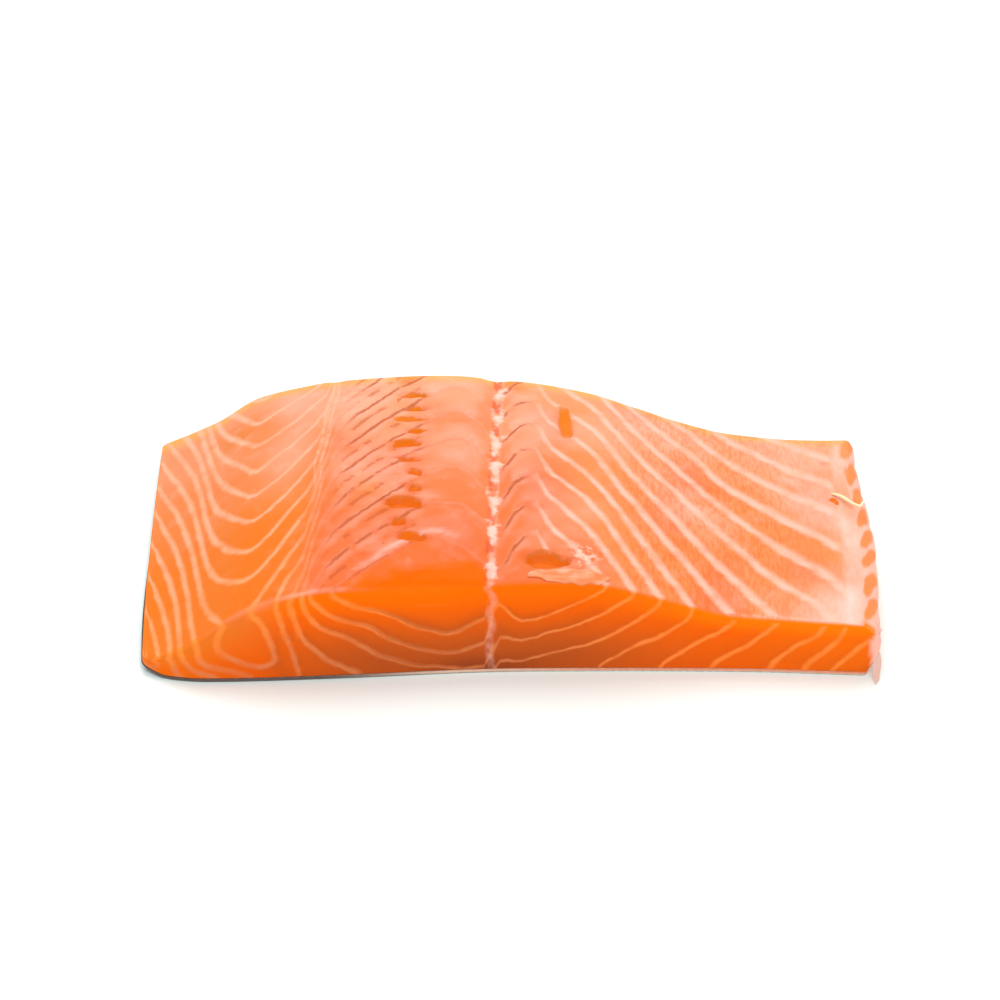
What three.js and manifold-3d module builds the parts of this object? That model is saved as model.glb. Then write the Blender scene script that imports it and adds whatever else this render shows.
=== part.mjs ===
// A portion of raw salmon fillet lying on its skin. The thick back is at -X, the thin belly at +X,
// and the fish ran along Y. Millimetres, +Z up, with the origin under the middle of the portion.
// The flesh is one solid and the skin under it is the other.

import * as THREE from 'three';
import { mergeGeometries, mergeVertices } from 'three/addons/utils/BufferGeometryUtils.js';
import Module from 'manifold-3d';

// ---------------------------------------------------------------- driving dimensions

const width = 160;              // back to belly
const length = 78;              // along the fish, at the back edge
const skinThickness = 1.0;
const skinGap = 0.3;            // clearance between the two solids
const dome = 3.0;               // how far the middle of the portion stands above its cut ends
const cornerRadius = 2.6;       // softness of the knife-cut edges
const seed = 7;

const flake = { pitch: 9.2, from: -34.6, step: 0.55, bellyStep: 0.3 };
const septumGroove = { x: -3.4, halfWidth: 3.0, depth: 0.9 };
const skinCurl = { reach: 8, height: 1.2 };
const bellySide = { widestAt: 0.6, bevel: 4.2, farBevelShare: 0.3, undercut: 2.4, reach: 9, lean: 3.4 };
const pinBoneRow = { end: -19.4, count: 11, first: -20.1, pitch: 4.85, length: 6.0, wide: 2.0, deep: 2.2 };
const knifeNick = { x: 11.2, y: 19.5, length: 15, wide: 2.5, deep: 2.8 };
const tornPocket = { x: 7.6, y: -27.4, length: 8.2, wide: 4.4, deep: 3.2 };
const flap = { x: 10.6, y: -31.6, length: 14, wide: 3.6, thick: 1.2, lift: 0.4 };

const bodySegments = { across: 78, along: 38, up: 7 };
const skinSegments = { across: 60, along: 14, up: 1 };

// Height of the flesh across the portion: x, then the height at the near cut and at the far cut.
const crossSection = [
  [-80, 3.0, 2.8],      // edge of the back
  [-75, 5.6, 4.4],
  [-66, 12.4, 9.0],     // trimmed slope of the back
  [-56.5, 19.4, 16.4],  // shoulder
  [-48, 22.2, 19.6],
  [-38, 23.8, 22.2],    // loin
  [-14, 23.2, 24.0],
  [4, 24.0, 23.6],      // over the backbone line
  [17, 23.6, 22.0],
  [27, 21.0, 19.0],
  [38, 17.2, 15.6],
  [49, 14.2, 13.2],     // belly wall
  [64, 13.6, 12.2],
  [80, 13.2, 12.2],
];

// Plan of the portion: x, then how far the top edges of the near and far cuts stand back from the
// full length, and how far the near cut leans out at its foot.
const cutLines = [
  [-80, 4.6, 1.6, 1.0],
  [-74, 1.9, 0.3, 1.0],
  [-66, 1.0, 0, 1.0],
  [-38, 2.3, 1.2, 1.2],
  [-14, 3.9, 1.6, 1.2],
  [4, 5.0, 3.6, 1.6],
  [27, 5.2, 6.6, 1.7],
  [49, 5.0, 9.2, 1.7],
  [70, 3.8, 10.2, 1.4],
  [80, 3.4, 9.8, 1.4],
];

// Where the muscle segments meet the cut top: x, then their offset along the fish in segments.
const segmentLine = [
  [-80, -0.2], [-74, 1.3], [-70, 2.5], [-66, 4.2], [-60, 5.75],
  [-56.5, 6.15],                                  // tip of the first fold, on the shoulder
  [-48, 5.5], [-44, 4.4], [-41, 1.8],             // fat seam along the loin
  [-34, 0.8], [-26, -0.1],
  [-13, -1.1],                                    // crest of the loin
  [-3.4, 0.25],                                   // backbone line
  [5, -0.75],
  [13, 0.75], [23, 2.15], [34, 3.85], [50, 5.5], [66, 6.95], [80, 7.6],
];

// ---------------------------------------------------------------- small helpers

const lerp = THREE.MathUtils.lerp;
const clamp01 = (t) => THREE.MathUtils.clamp(t, 0, 1);
const smooth = (t) => clamp01(t) ** 2 * (3 - 2 * clamp01(t));

// A curve through [x, value, ...] rows that never swings past them: slopes are the harmonic mean
// of the two neighbouring slopes, and zero at a turning point.
function through(rows, column = 1) {
  const x = rows.map((row) => row[0]);
  const y = rows.map((row) => row[column]);
  const rise = x.slice(1).map((_, i) => (y[i + 1] - y[i]) / (x[i + 1] - x[i]));
  const slope = x.map((_, i) => {
    if (i === 0) return rise[0];
    if (i === x.length - 1) return rise[i - 1];
    const both = rise[i - 1] * rise[i];
    return both > 0 ? (2 * both) / (rise[i - 1] + rise[i]) : 0;
  });
  return (at) => {
    const inside = THREE.MathUtils.clamp(at, x[0], x[x.length - 1]);
    const i = Math.min(Math.max(x.findIndex((edge) => edge > inside) - 1, 0), x.length - 2);
    const last = inside >= x[x.length - 1] ? x.length - 2 : i;
    const span = x[last + 1] - x[last];
    const t = (inside - x[last]) / span;
    return (1 + 2 * t) * (1 - t) ** 2 * y[last] + t * (1 - t) ** 2 * span * slope[last]
      + t * t * (3 - 2 * t) * y[last + 1] - t * t * (1 - t) * span * slope[last + 1];
  };
}

const nearHeight = through(crossSection, 1);
const farHeight = through(crossSection, 2);
const nearInset = through(cutLines, 1);
const farInset = through(cutLines, 2);
const footLean = through(cutLines, 3);
const segmentOffset = through(segmentLine);

const seeded = (n) => {
  const wave = Math.sin((n + seed) * 127.1) * 43758.5453;
  return wave - Math.floor(wave);
};

// ---------------------------------------------------------------- form of the portion

const nearCut = (x) => -length / 2 + nearInset(x);
const farCut = (x) => length / 2 - farInset(x);

// The two long edges lean in a little towards the far end.
const backEdge = (v) => -width / 2 + 1.6 * v * v + 0.5 * (1 - v) ** 4;
const bellyEdge = (v) => width / 2 - 0.7 * (1 - v) ** 2 - bellySide.lean * smooth((v - 0.4) / 0.6);

function height(x, v) {
  const middle = 4 * v * (1 - v);
  const room = smooth((x + 80) / 42) * lerp(0.3, 1, smooth((84 - x) / 60));
  return lerp(nearHeight(x), farHeight(x), v) + dome * middle * room;
}

// The skin and the flesh on it curl up off the board along the edge of the back.
const curl = (x) => skinCurl.height * (1 - smooth((x + width / 2) / skinCurl.reach)) ** 2;

// Each muscle segment overlaps the next like a shallow tile. The steps fade out towards the edges.
function flakeRelief(x, y, v) {
  const phase = (y - flake.from) / flake.pitch + segmentOffset(x);
  const tile = phase - Math.floor(phase);
  const loin = smooth((x + 42) / 6) * smooth((10 - x) / 6);
  const belly = smooth((x - 12) / 8) * smooth((76 - x) / 10);
  const ends = smooth(v / 0.08) * smooth((1 - v) / 0.08);
  const edge = smooth(tile / 0.16) * (1 - tile) - 0.4;
  const ridge = Math.sin(tile * Math.PI) - 0.6;
  return ends * (loin * flake.step * edge + belly * flake.bellyStep * ridge);
}

function septumRelief(x) {
  const t = (x - septumGroove.x) / septumGroove.halfWidth;
  return -septumGroove.depth * Math.exp(-t * t);
}

const topHeight = (x, y, v) => height(x, v) + flakeRelief(x, y, v) + septumRelief(x);

// A place in the block, with u across, v along and w up, each from 0 to 1.
function placeInFlesh(u, v, w) {
  const plain = lerp(backEdge(v), bellyEdge(v), u);
  const y = lerp(nearCut(plain), farCut(plain), v) - footLean(plain) * (1 - w) * (1 - v) ** 4;
  const low = skinThickness + skinGap + curl(plain);
  const high = Math.max(topHeight(plain, y, v), low + 1.2);
  const above = w - bellySide.widestAt;
  const bevel = bellySide.bevel * lerp(1, bellySide.farBevelShare, smooth((v - 0.7) / 0.3));
  const tuck = above > 0
    ? bevel * (above / (1 - bellySide.widestAt)) ** 2
    : bellySide.undercut * (above / bellySide.widestAt) ** 2;
  const nearBelly = smooth((plain - bellyEdge(v) + bellySide.reach) / bellySide.reach);
  return new THREE.Vector3(plain - tuck * nearBelly, y, lerp(low, high, w));
}

// The outline of the skin follows the bottom of the flesh.
function placeInSkin(u, v, w) {
  const foot = placeInFlesh(u, v, 0);
  const rim = skinThickness * 0.25 * (1 - w);
  const inward = new THREE.Vector2(Math.sign(0.5 - u), Math.sign(0.5 - v));
  foot.x += u === 0 || u === 1 ? inward.x * rim : 0;
  foot.y += v === 0 || v === 1 ? inward.y * rim : 0;
  foot.z = curl(foot.x) + w * skinThickness;
  return foot;
}

// Rounds the edges of a unit block: a point nearer than the radius to two or three faces at once
// moves onto the ball around the corner that they share.
function rounded(u, v, w) {
  const size = new THREE.Vector3(width, length, 22);
  const point = new THREE.Vector3(u, v, w).multiply(size);
  const core = point.clone().clamp(
    new THREE.Vector3(cornerRadius, cornerRadius, 0),
    new THREE.Vector3(size.x - cornerRadius, size.y - cornerRadius, size.z - cornerRadius),
  );
  const out = point.clone().sub(core);
  if (out.length() > cornerRadius) out.setLength(cornerRadius);
  return core.add(out).divide(size);
}

// The sides and top of a block as a fine grid, closed underneath by a coarse lid.
function block(segments, place) {
  const box = new THREE.BoxGeometry(1, 1, 1, segments.across, segments.along, segments.up);
  box.deleteAttribute('normal');
  box.deleteAttribute('uv');
  const underside = box.groups[5];
  const indices = Array.from(box.index.array);
  indices.splice(underside.start, underside.count);
  box.setIndex(indices);
  box.clearGroups();
  const points = box.getAttribute('position');
  const share = (value, count) => Math.round((value + 0.5) * count) / count;
  for (let i = 0; i < points.count; i += 1) {
    const moved = place(
      share(points.getX(i), segments.across),
      share(points.getY(i), segments.along),
      share(points.getZ(i), segments.up),
    );
    points.setXYZ(i, moved.x, moved.y, moved.z);
  }
  return mergeVertices(mergeGeometries([box.toNonIndexed(), lid(segments, place)]), 1e-4);
}

// Straight strips from the near edge to the far edge, with a fan along the back and the belly.
function lid({ across, along }, place) {
  const row = (count, at) => Array.from({ length: count + 1 }, (_, i) => at(i / count));
  const near = row(across, (t) => place(t, 0, 0));
  const far = row(across, (t) => place(t, 1, 0));
  const back = row(along, (t) => place(0, t, 0));
  const belly = row(along, (t) => place(1, t, 0));
  const corners = [near[1], far[0], far[1], near[across - 1], far[across - 1], far[across]];
  for (let i = 1; i < across - 1; i += 1) {
    corners.push(near[i], far[i], near[i + 1], near[i + 1], far[i], far[i + 1]);
  }
  for (let i = 0; i < along; i += 1) {
    corners.push(near[1], back[i], back[i + 1]);
    corners.push(near[across - 1], belly[i + 1], belly[i]);
  }
  return new THREE.BufferGeometry().setFromPoints(corners);
}

function fleshBlock() {
  return block(bodySegments, (u, v, w) => {
    const soft = rounded(u, v, w);
    return placeInFlesh(soft.x, soft.y, soft.z);
  });
}

// ---------------------------------------------------------------- cuts and crags

// A pointed leaf outline, length along X, drawn as two arcs.
function leafShape(long, wide) {
  const shape = new THREE.Shape();
  shape.moveTo(-long / 2, 0);
  shape.quadraticCurveTo(0, -wide, long / 2, 0);
  shape.quadraticCurveTo(0, wide, -long / 2, 0);
  return shape;
}

// A wedge that opens upwards from a thin root, for cutting a slit of a leaf outline.
function slitCutter({ long, wide, deep, x, y, top, turn }) {
  const over = 4;
  const cutter = new THREE.ExtrudeGeometry(leafShape(long, wide), {
    depth: deep + over, bevelEnabled: false, curveSegments: 4, steps: 1,
  });
  cutter.deleteAttribute('normal');
  cutter.deleteAttribute('uv');
  const points = cutter.getAttribute('position');
  for (let i = 0; i < points.count; i += 1) {
    const taper = points.getZ(i) > deep / 2 ? 1 + over / deep : 0.35;
    points.setXYZ(i, points.getX(i) * Math.min(taper, 1), points.getY(i) * taper, points.getZ(i));
  }
  cutter.rotateZ(turn);
  cutter.translate(x, y, top - deep);
  return mergeVertices(cutter, 1e-4);
}

function topAt(x, y) {
  const v = (y - nearCut(x)) / (farCut(x) - nearCut(x));
  return topHeight(x, y, v);
}

// The slits that the pin bones left, one behind another beside the backbone line.
function pinBoneCutters() {
  return Array.from({ length: pinBoneRow.count }, (_, i) => {
    const long = pinBoneRow.length * lerp(0.65, 1.15, seeded(i));
    const x = pinBoneRow.end - long / 2;
    const y = pinBoneRow.first + i * pinBoneRow.pitch + lerp(-0.4, 0.4, seeded(i + 40));
    const turn = lerp(-0.16, 0.1, seeded(i + 80));
    return slitCutter({
      long, wide: pinBoneRow.wide * lerp(0.8, 1.2, seeded(i + 20)), deep: pinBoneRow.deep,
      x, y, top: topAt(x, y), turn,
    });
  });
}

function knifeNickCutter() {
  const { x, y, length: long, wide, deep } = knifeNick;
  return slitCutter({ long, wide, deep, x, y, top: topAt(x, y), turn: Math.PI / 2 });
}

function tornPocketCutter() {
  const { x, y, length: long, wide, deep } = tornPocket;
  return slitCutter({ long, wide, deep, x, y, top: topAt(x, y), turn: -0.18 });
}

// A thin tongue of flesh that stands up along the near edge of the torn pocket.
function flapSolid() {
  const tongue = new THREE.SphereGeometry(0.5, 18, 8);
  tongue.deleteAttribute('normal');
  tongue.deleteAttribute('uv');
  tongue.scale(flap.length, flap.wide, flap.thick * 2);
  tongue.rotateX(0.3);
  tongue.translate(flap.x, flap.y, topAt(flap.x, flap.y) - flap.thick + flap.lift);
  return mergeVertices(tongue, 1e-4);
}

// ---------------------------------------------------------------- booleans

const wasm = await Module();
wasm.setup();

function solid(geometry) {
  return new wasm.Manifold(new wasm.Mesh({
    numProp: 3,
    vertProperties: new Float32Array(geometry.getAttribute('position').array),
    triVerts: new Uint32Array(geometry.index.array),
  }));
}

function geometryOf(manifold) {
  const mesh = manifold.getMesh();
  const geometry = new THREE.BufferGeometry();
  geometry.setAttribute('position', new THREE.BufferAttribute(mesh.vertProperties, 3));
  geometry.setIndex(new THREE.BufferAttribute(mesh.triVerts, 1));
  return geometry;
}

function fleshGeometry() {
  const cutters = [...pinBoneCutters(), knifeNickCutter(), tornPocketCutter()];
  const cut = cutters.reduce((body, cutter) => body.subtract(solid(cutter)), solid(fleshBlock()));
  return geometryOf(cut.add(solid(flapSolid())));
}

function skinGeometry() {
  return block(skinSegments, placeInSkin);
}

// ---------------------------------------------------------------- pieces

function piece(name, geometry, look) {
  geometry.computeVertexNormals();
  const mesh = new THREE.Mesh(geometry, new THREE.MeshStandardMaterial(look));
  mesh.name = name;
  return mesh;
}

const fillet = new THREE.Group();
fillet.add(piece('flesh', fleshGeometry(), { color: 0xf98a55, roughness: 0.32, metalness: 0 }));
fillet.add(piece('skin', skinGeometry(), { color: 0x6f6a66, roughness: 0.38, metalness: 0 }));

// The origin is under the middle of the portion, on the surface that it lies on.
const bounds = new THREE.Box3().setFromObject(fillet, true);
const middle = bounds.getCenter(new THREE.Vector3());
fillet.position.set(-middle.x, -middle.y, -bounds.min.z);

export default fillet;
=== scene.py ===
"""A portion of raw salmon fillet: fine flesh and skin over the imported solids, and a white studio.

The thick back of the fish is at -X, its thin belly at +X, and the fish ran along Y.
Lengths in this file are millimetres unless a name says otherwise; MM turns them to metres.
"""

import math
from functools import partial
from types import SimpleNamespace

import bmesh
import bpy
import numpy as np
from bpy.props import FloatProperty, FloatVectorProperty, PointerProperty
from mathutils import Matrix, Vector


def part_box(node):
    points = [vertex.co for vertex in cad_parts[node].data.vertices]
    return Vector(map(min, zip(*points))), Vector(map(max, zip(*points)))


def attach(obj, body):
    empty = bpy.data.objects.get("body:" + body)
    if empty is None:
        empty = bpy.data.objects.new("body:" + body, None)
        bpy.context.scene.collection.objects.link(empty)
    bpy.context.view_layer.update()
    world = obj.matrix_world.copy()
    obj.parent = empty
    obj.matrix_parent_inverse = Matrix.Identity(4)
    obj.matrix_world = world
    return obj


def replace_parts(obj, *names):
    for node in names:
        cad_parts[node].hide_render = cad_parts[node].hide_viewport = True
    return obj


bl_info = {
    "name": "Raw salmon fillet",
    "version": (1, 0, 0),
    "blender": (4, 5, 0),
    "location": "View3D > Sidebar > Fillet",
    "description": "Builds the flesh, skin and small scraps of a salmon portion",
    "category": "Mesh",
}

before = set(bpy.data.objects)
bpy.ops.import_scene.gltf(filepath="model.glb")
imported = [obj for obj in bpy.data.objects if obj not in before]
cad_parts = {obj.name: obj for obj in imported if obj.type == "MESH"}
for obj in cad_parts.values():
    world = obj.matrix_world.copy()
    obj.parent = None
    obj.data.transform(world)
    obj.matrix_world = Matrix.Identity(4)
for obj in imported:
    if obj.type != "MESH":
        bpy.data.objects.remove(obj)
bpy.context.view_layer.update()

MM = 0.001

# -------- sizes shared with the solids

WIDTH, LENGTH = 160.0, 78.0          # back to belly, and along the fish
SKIN_THICKNESS, SKIN_GAP = 1.0, 0.3
THINNEST_FLESH = 1.2
DOME = 3.0                           # the middle stands this much above the cut ends
FLAKE_PITCH, FLAKE_FROM = 9.2, -34.6  # muscle segments along the fish
SEPTUM_X = -3.4                      # line that the backbone lay along
CURL_REACH, CURL_HEIGHT = 8.0, 1.2   # lift of the back edge off the board
SIDE_WIDEST, SIDE_BEVEL, SIDE_UNDERCUT, SIDE_REACH = 0.6, 4.2, 2.4, 9.0
FAR_BEVEL = 0.3                      # share of the bevel left at the far corner of the belly

# x, then the height of the flesh at the near cut and at the far cut
CROSS_SECTION = (
    (-80, 3.0, 2.8), (-75, 5.6, 4.4), (-66, 12.4, 9.0), (-56.5, 19.4, 16.4),
    (-48, 22.2, 19.6), (-38, 23.8, 22.2), (-14, 23.2, 24.0), (4, 24.0, 23.6),
    (17, 23.6, 22.0), (27, 21.0, 19.0), (38, 17.2, 15.6), (49, 14.2, 13.2),
    (64, 13.6, 12.2), (80, 13.2, 12.2),
)
# x, then how far the top edges of the near and far cuts stand back from the full length,
# and how far the near cut leans out at its foot
CUT_LINES = (
    (-80, 4.6, 1.6, 1.0), (-74, 1.9, 0.3, 1.0), (-66, 1.0, 0, 1.0), (-38, 2.3, 1.2, 1.2),
    (-14, 3.9, 1.6, 1.2), (4, 5.0, 3.6, 1.6), (27, 5.2, 6.6, 1.7), (49, 5.0, 9.2, 1.7),
    (70, 3.8, 10.2, 1.4), (80, 3.4, 9.8, 1.4),
)
# Where the fat sheets between the muscle segments run: x, then their offset along the fish,
# in segments, on the far top and on the near top, and what is added to it at four depths
# down to the skin.
SEPTA = (
    (-80, -0.6, 0.7, 1.1, 1.2, 1.3, 1.5),
    (-77, 0.2, 1.8, 0.4, 0.3, 0.4, 0.6),
    (-74, 0.9, 2.9, 0.2, 0, 0.05, 0.1),
    (-70, 2.05, 4.75, -0.14, -0.3, -0.67, -1.09),
    (-65, 4.45, 5.9, 0.1, 0.04, -0.53, -1.6),
    (-60, 5.6, 6.35, 0.43, 0.42, -0.15, -1.27),
    (-56, 6.25, 6.25, 0.41, 0.7, 0.48, -0.74),
    (-50, 5.85, 5.4, 0.42, 0.81, 1.04, 0.62),
    (-45.5, 5.2, 4.3, 0.3, 0.89, 1.42, 1.75),
    (-43, 4.6, 3.8, 0.29, 0.68, 1.16, 1.64),
    (-40, 1.7, 2.2, 1.02, 1.76, 2.44, 2.92),
    (-34, 0.8, 0.85, 0.88, 2.27, 3, 3.63),
    (-26, -0.1, 0.05, 0.97, 1.86, 2.89, 3.82),
    (-18, -0.85, -0.4, 0.81, 1.65, 2.68, 3.81),
    (-12, -1.2, 0.1, 0.17, 0.86, 1.94, 3.14),
    (-5.4, -0.45, 0.5, 0.2, 0.95, 1.82, 2.75),
    (-3.6, 0.15, 0.6, 1.6, 2.05, 2.6, 3.6),
    (2, -0.55, -0.4, 1.48, 2.77, 3.75, 4.73),
    (5, -0.65, -0.65, 1.72, 3.1, 4.13, 5.1),
    (8, 0.2, -0.05, 1.41, 2.75, 3.78, 4.66),
    (11, 0.55, 0.45, 1.26, 2.4, 3.43, 4.26),
    (18, 1.35, 1.5, 0.95, 1.84, 2.77, 3.55),
    (26, 2.8, 2.85, 0.69, 1.43, 2.31, 2.84),
    (32, 3.6, 3.9, 0.49, 1.03, 1.66, 2.19),
    (39, 4.35, 4.95, 0.25, 0.76, 1.37, 1.85),
    (47, 5.25, 5.85, 0.26, 0.7, 1.23, 1.61),
    (56, 6, 6.85, 0.28, 0.62, 1, 1.33),
    (66, 6.7, 7.65, 0.35, 0.95, 1.5, 1.9),
    (73, 7, 8.45, 0.35, 0.75, 1.2, 1.6),
    (80, 7.1, 8.9, 0.3, 0.6, 1, 1.3),
)
# x, then the depth, as a share, down to which the cut faces show no sheets.
CALM_DEPTH = (
    (-30, 0), (-27, 0.16), (-22, 0.22), (-5.6, 0.24), (-3, 0.14), (0, 0.3), (8, 0.33), (16, 0.1), (20, 0),
)
SEAM_X, SEAM_LEAN = -42.0, 3.2       # fat seam along the loin, and how far it leans either way

# Slits left by the pin bones: left end, right end, place along the fish, width.
PIN_BONE_SLITS = (
    (-24.0, -19.0, 28.8, 2.9), (-23.0, -19.2, 23.7, 2.3), (-26.0, -18.8, 19.5, 1.9),
    (-22.4, -18.8, 14.9, 2.4), (-26.0, -19.0, 10.2, 3.2), (-25.4, -19.6, 4.8, 1.2),
    (-23.0, -19.0, 0.3, 2.6), (-23.2, -19.0, -4.7, 2.6), (-27.2, -19.0, -9.7, 4.2),
    (-26.2, -22.0, -15.7, 2.8), (-25.0, -18.2, -20.3, 3.0),
)
# x, then the usual width of the pale fat line there.
FAT_WIDTH = (
    (-80, 1.3), (-62, 1.55), (-54, 1.2), (-40, 0.85), (0, 0.9), (14, 1.5), (30, 2.0), (60, 2.4), (80, 2.6),
)
# Knife nick and torn pocket: middle x, middle y, length, width, depth, turn in degrees.
KNIFE_NICK = (11.9, 19.5, 16.0, 2.7, 1.4, 93.0)
TORN_POCKET = (7.6, -27.4, 9.8, 5.0, 1.9, -10.0)
# Torn tongue: its tip, its length, width and thickness.
TONGUE_TIP, TONGUE_LENGTH, TONGUE_WIDTH, TONGUE_THICKNESS = (3.4, -31.7), 17.5, 3.7, 0.4
# Film at the belly's near corner: x, y and height of its upper end, height of its lower end, thickness.
FILM_UPPER_END, FILM_FOOT, FILM_THICKNESS = (77.0, -34.6, 9.0), 0.3, 0.25
# Loose tendon: x, y, height over the surface, share of its full radius.
TENDON_RADIUS = 0.42
TENDON = (
    (70.4, 7.8, 0.1, 0.35), (71.6, 7.0, 0.5, 0.9), (73.2, 5.6, 0.6, 1.0), (74.8, 4.0, 0.5, 0.8),
    (76.4, 2.9, 0.6, 0.9), (77.0, 4.0, 0.5, 0.7), (77.4, 5.6, 0.2, 0.3),
)
# Hollow beside the tendon, as a cut, and small bruises: x, y, size.
TENDON_HOLLOW = (71.9, 5.2, 3.4, 2.0, 0.5, -30.0)
BRUISES = ((68.6, 26.4, 0.8), (68.2, 24.6, 0.5), (69.4, 19.4, 0.8), (64.5, -20.0, 0.6))
# Muscle that shows between the fat sheets on the belly's side: place along the fish, half length.
BELLY_SIDE_MUSCLE = (
    (25.0, 3.8), (17.2, 3.8), (9.2, 3.6), (2.0, 3.2), (-5.4, 3.2), (-12.0, 2.9), (-20.6, 3.8), (-28.6, 3.4),
)
# Rough wet patch beside the torn pocket, where glints and pits are painted as highlights and shade: x, y,
# half width.
ROUGH_PATCH = (15.6, -25.6, 3.0)
# White spots of the cut backbone line, near to far.
SPINE_SPOTS = (-29.8, -20.2, -9.6, 1.5, 10.2, 18.8, 27.6)
# Ochre spots where the top is thin and lit through: x, y, size.
OCHRE_SPOTS = ((-31.3, -4.3, 2.5), (0.8, 33.0, 2.6), (-22.5, 34.4, 2.4), (-62.0, 27.0, 5.0))

FAR_AWAY = 99.0                      # stands for off the line, in distances from one
FLESH_CELLS = (286, 146, 42)         # fine squares across, along and up
SKIN_CELLS = (150, 74, 2)
TONGUE_CELLS, FILM_CELLS = (34, 12), (12, 20)

CAMERA_AIM = (-2.45, -11.95, 28.7)
FLOOR_SIDE = 6                       # metres
# Name, place and side of each softbox, in metres.
SOFTBOXES = (
    ("above", (-0.15, 0.6, 1.2), 0.9),
    ("behind", (0.25, 1.25, 0.75), 1.1),
    ("front", (0.2, -0.95, 1.25), 1.0),
)
SOFTBOX_AIM = (0, 0, 0.01)


# -------- small helpers

def linear(hex_colour):
    """An sRGB hex colour as linear red, green and blue."""
    parts = [int(hex_colour[i:i + 2], 16) / 255 for i in (0, 2, 4)]
    return tuple(c / 12.92 if c <= 0.04045 else ((c + 0.055) / 1.055) ** 2.4 for c in parts)


def smooth(t):
    t = np.clip(t, 0, 1)
    return t * t * (3 - 2 * t)


def ramp(x, start, over):
    """Rises softly from 0 at start to 1 at start + over, which may lie on either side of it."""
    return smooth((x - start) / over)


def inner(share, rim):
    """0 at both ends of a share, and 1 once it is a rim's width from them."""
    return smooth(share / rim) * smooth((1 - share) / rim)


def mix(a, b, t):
    return a + (b - a) * t


def bell(x, middle, half_width):
    return np.exp(-((x - middle) / half_width) ** 2)


def through(rows, column, at):
    """A smooth curve through the rows' column that never swings past them, read at each x of at."""
    x = np.array([row[0] for row in rows], float)
    y = np.array([row[column] for row in rows], float)
    rise = np.diff(y) / np.diff(x)
    both = rise[:-1] * rise[1:]
    total = np.where(both > 0, rise[:-1] + rise[1:], 1)
    slope = np.concatenate(([rise[0]], np.where(both > 0, 2 * both / total, 0), [rise[-1]]))
    at = np.clip(at, x[0], x[-1])
    i = np.clip(np.searchsorted(x, at, side="right") - 1, 0, len(x) - 2)
    span = x[i + 1] - x[i]
    t = (at - x[i]) / span
    return ((1 + 2 * t) * (1 - t) ** 2 * y[i] + t * (1 - t) ** 2 * span * slope[i]
            + t * t * (3 - 2 * t) * y[i + 1] - t * t * (1 - t) * span * slope[i + 1])


def waves(x, y, wavelength, seed, count=7):
    """Soft uneven swells of about unit height: a few crossing waves with seeded directions."""
    draw = np.random.default_rng(seed)
    total = np.zeros_like(x)
    for _ in range(count):
        angle, phase = draw.uniform(0, 2 * math.pi, 2)
        pace = 2 * math.pi / (wavelength * draw.uniform(0.7, 1.5))
        total += np.sin(pace * (x * math.cos(angle) + y * math.sin(angle)) + phase)
    return total / math.sqrt(count)


# -------- form of the portion

def near_cut(x):
    return -LENGTH / 2 + through(CUT_LINES, 1, x)


def far_cut(x):
    return LENGTH / 2 - through(CUT_LINES, 2, x)


def back_edge(v):
    return -WIDTH / 2 + 1.6 * v * v + 0.5 * (1 - v) ** 4


def belly_edge(v):
    return WIDTH / 2 - 0.7 * (1 - v) ** 2 - 3.4 * ramp(v, 0.4, 0.6)


def top_height(x, v):
    """Height of the flesh without its flakes and cuts."""
    room = ramp(x, -80, 42) * mix(0.3, 1, ramp(x, 84, -60))
    return mix(through(CROSS_SECTION, 1, x), through(CROSS_SECTION, 2, x), v) + DOME * 4 * v * (1 - v) * room


def side_bevel(v):
    """How far the belly's side leans in from its widest line up to the top edge."""
    return SIDE_BEVEL * mix(1, FAR_BEVEL, ramp(v, 0.7, 0.3))


def curl(x):
    return CURL_HEIGHT * (1 - ramp(x, -WIDTH / 2, CURL_REACH)) ** 2


def floor_of_flesh(x):
    return SKIN_THICKNESS + SKIN_GAP + curl(x)


def placed(u, v, w):
    """Millimetre place of block shares u across, v along and w up, and the x before the belly's tuck."""
    plain = mix(back_edge(v), belly_edge(v), u)
    y = mix(near_cut(plain), far_cut(plain), v) - through(CUT_LINES, 3, plain) * (1 - w) * (1 - v) ** 4
    low = floor_of_flesh(plain)
    high = np.maximum(top_height(plain, v), low + THINNEST_FLESH)
    above = w - SIDE_WIDEST
    tuck = np.where(above > 0, side_bevel(v) * (above / (1 - SIDE_WIDEST)) ** 2,
                    SIDE_UNDERCUT * (above / SIDE_WIDEST) ** 2)
    near_belly = ramp(plain - belly_edge(v), -SIDE_REACH, SIDE_REACH)
    return np.stack([plain - tuck * near_belly, y, mix(low, high, w)], -1), plain


def rounded(shares, radius):
    """Softens the edges of the unit block: what is near two faces at once moves onto their arc.

    The near edge is worn rounder along the loin and down the slope of the back.
    """
    size = np.array([WIDTH, LENGTH, 22.0])
    point = shares * size
    x = point[:, :1] - WIDTH / 2
    worn = 2.6 * bell(x, -20, 14) + 1.8 * ramp(x, -44, -8) * ramp(x, -78, 6)
    radius = radius + worn * (shares[:, 1:2] < 0.5)
    core = np.clip(point, radius * [1, 1, 0], size - radius)
    out = point - core
    reach = np.linalg.norm(out, axis=-1, keepdims=True)
    out = np.where(reach > radius, out / np.maximum(reach, 1e-9) * radius, out)
    return (core + out) / size


def denser_rim(share, cells, rim_cells=6, finer=0.5):
    """Evenly spaced shares, with the first and last few squares made finer for the knife edges."""
    rim = rim_cells / cells
    return np.interp(share, [0, rim, 1 - rim, 1], [0, rim * finer, 1 - rim * finer, 1])


# -------- muscle pattern

def seam_x(v):
    return SEAM_X + SEAM_LEAN * (2 * v - 1)


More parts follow.
